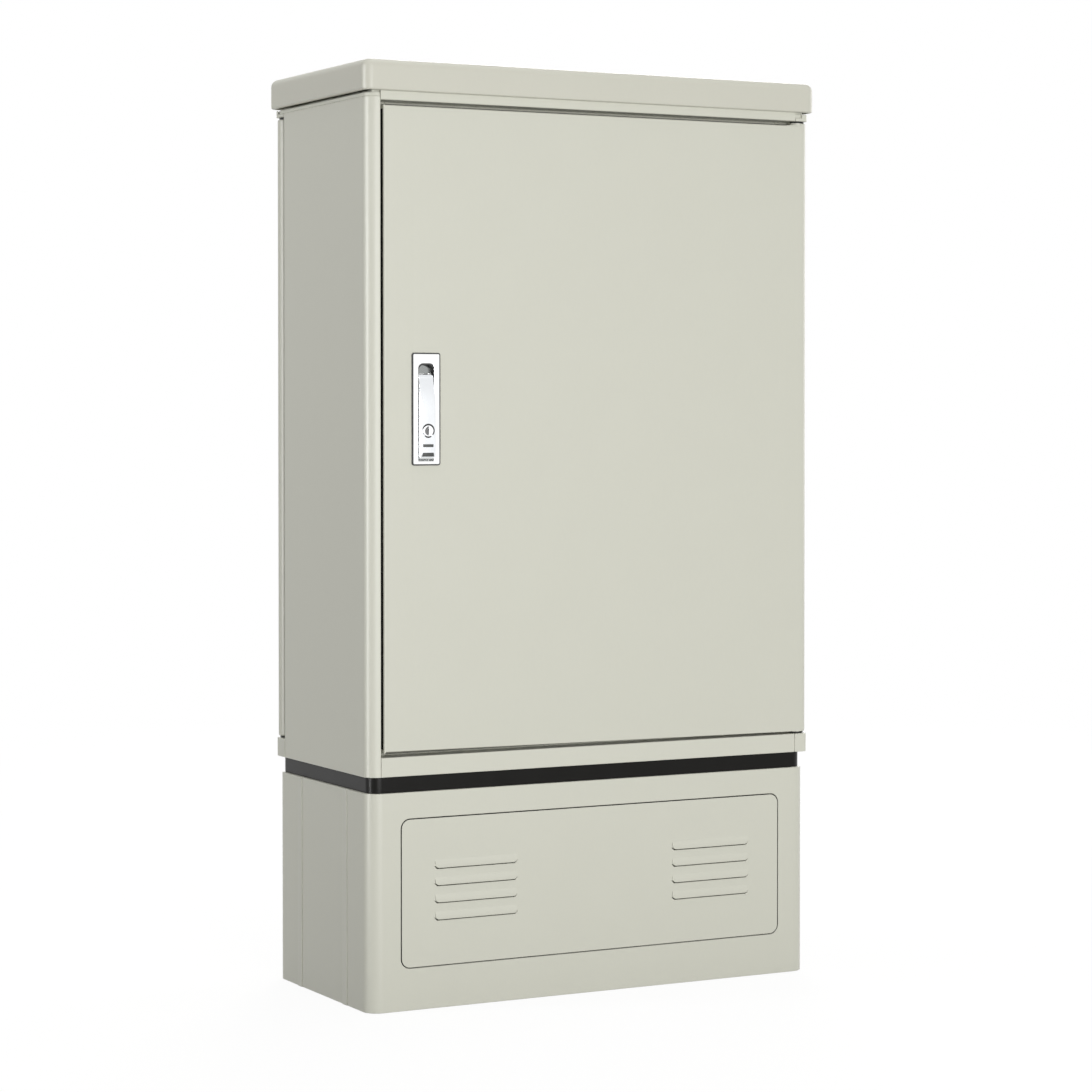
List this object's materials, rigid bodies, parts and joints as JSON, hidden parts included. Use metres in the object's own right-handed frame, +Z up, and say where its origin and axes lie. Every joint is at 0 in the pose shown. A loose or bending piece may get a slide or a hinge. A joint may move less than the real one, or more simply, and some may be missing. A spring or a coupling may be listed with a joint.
{
  "type": "street cabinet",
  "caption": "Free-standing outdoor distribution cabinet on a ventilated plinth, with a hinged door front and rear, lifting lever locks and a roof cap.",
  "frame": {"origin": "centre of the plinth's underside, on the ground", "axes": "+Z up, +X to the right along the front, +Y from the front to the rear"},
  "size_m": [0.807, 0.3756, 1.4549],
  "materials": {
    "housing": "semi-matt grey",
    "strips": "semi-matt grey",
    "cap": "semi-matt grey",
    "door": "semi-matt grey",
    "rubber": "matt black",
    "lock": "polished",
    "steel": "zinc plated",
    "guide": "black"
  },
  "bodies": {
    "cabinet": {"base_front_panel": "housing", "base_rear_panel": "housing", "base_side_left": "housing", "base_side_right": "housing", "base_strips_left": "strips", "base_strips_right": "strips", "front_base_cover": "housing", "rear_base_cover": "housing", "spacer_band": "rubber", "floor_plate": "housing", "cable_grommets": "rubber", "side_panel_left": "housing", "side_panel_right": "housing", "front_sill": "housing", "rear_sill": "housing", "front_lintel": "housing", "rear_lintel": "housing", "ceiling_plate": "housing", "roof_cap": "cap", "front_hinge_pins": "steel", "rear_hinge_pins": "steel", "front_door_seal": "rubber", "rear_door_seal": "rubber"},
    "front_door": {"front_door_panel": "door", "front_lock_plate": "lock", "front_lock_case": "steel", "front_lock_rods": "steel", "front_rod_guides": "guide", "front_lever_pin": "steel"},
    "front_lever": {"front_lever": "lock"},
    "front_key_cylinder": {"front_key_cylinder": "lock"},
    "rear_door": {"rear_door_panel": "door", "rear_lock_plate": "lock", "rear_lock_case": "steel", "rear_lock_rods": "steel", "rear_rod_guides": "guide", "rear_lever_pin": "steel"},
    "rear_lever": {"rear_lever": "lock"},
    "rear_key_cylinder": {"rear_key_cylinder": "lock"}
  },
  "joints": [
    {"name": "front_door_hinge", "type": "hinge", "parent": "cabinet", "child": "front_door", "pos_m": [0.3815, -0.164, 0.889], "axis": [0, 0, 1], "range_deg": [0, 120]},
    {"name": "front_lever_lift", "type": "hinge", "parent": "front_door", "child": "front_lever", "pos_m": [-0.2985, -0.1765, 0.853], "axis": [1, 0, 0], "range_deg": [0, 35]},
    {"name": "front_key_turn", "type": "hinge", "parent": "front_lever", "child": "front_key_cylinder", "pos_m": [-0.2985, -0.182, 0.887], "axis": [0, 1, 0], "range_deg": [0, 90]},
    {"name": "rear_door_hinge", "type": "hinge", "parent": "cabinet", "child": "rear_door", "pos_m": [-0.3815, 0.164, 0.889], "axis": [0, 0, 1], "range_deg": [0, 120]},
    {"name": "rear_lever_lift", "type": "hinge", "parent": "rear_door", "child": "rear_lever", "pos_m": [0.2985, 0.1765, 0.853], "axis": [-1, 0, 0], "range_deg": [0, 35]},
    {"name": "rear_key_turn", "type": "hinge", "parent": "rear_lever", "child": "rear_key_cylinder", "pos_m": [0.2985, 0.182, 0.887], "axis": [0, -1, 0], "range_deg": [0, 90]}
  ]
}
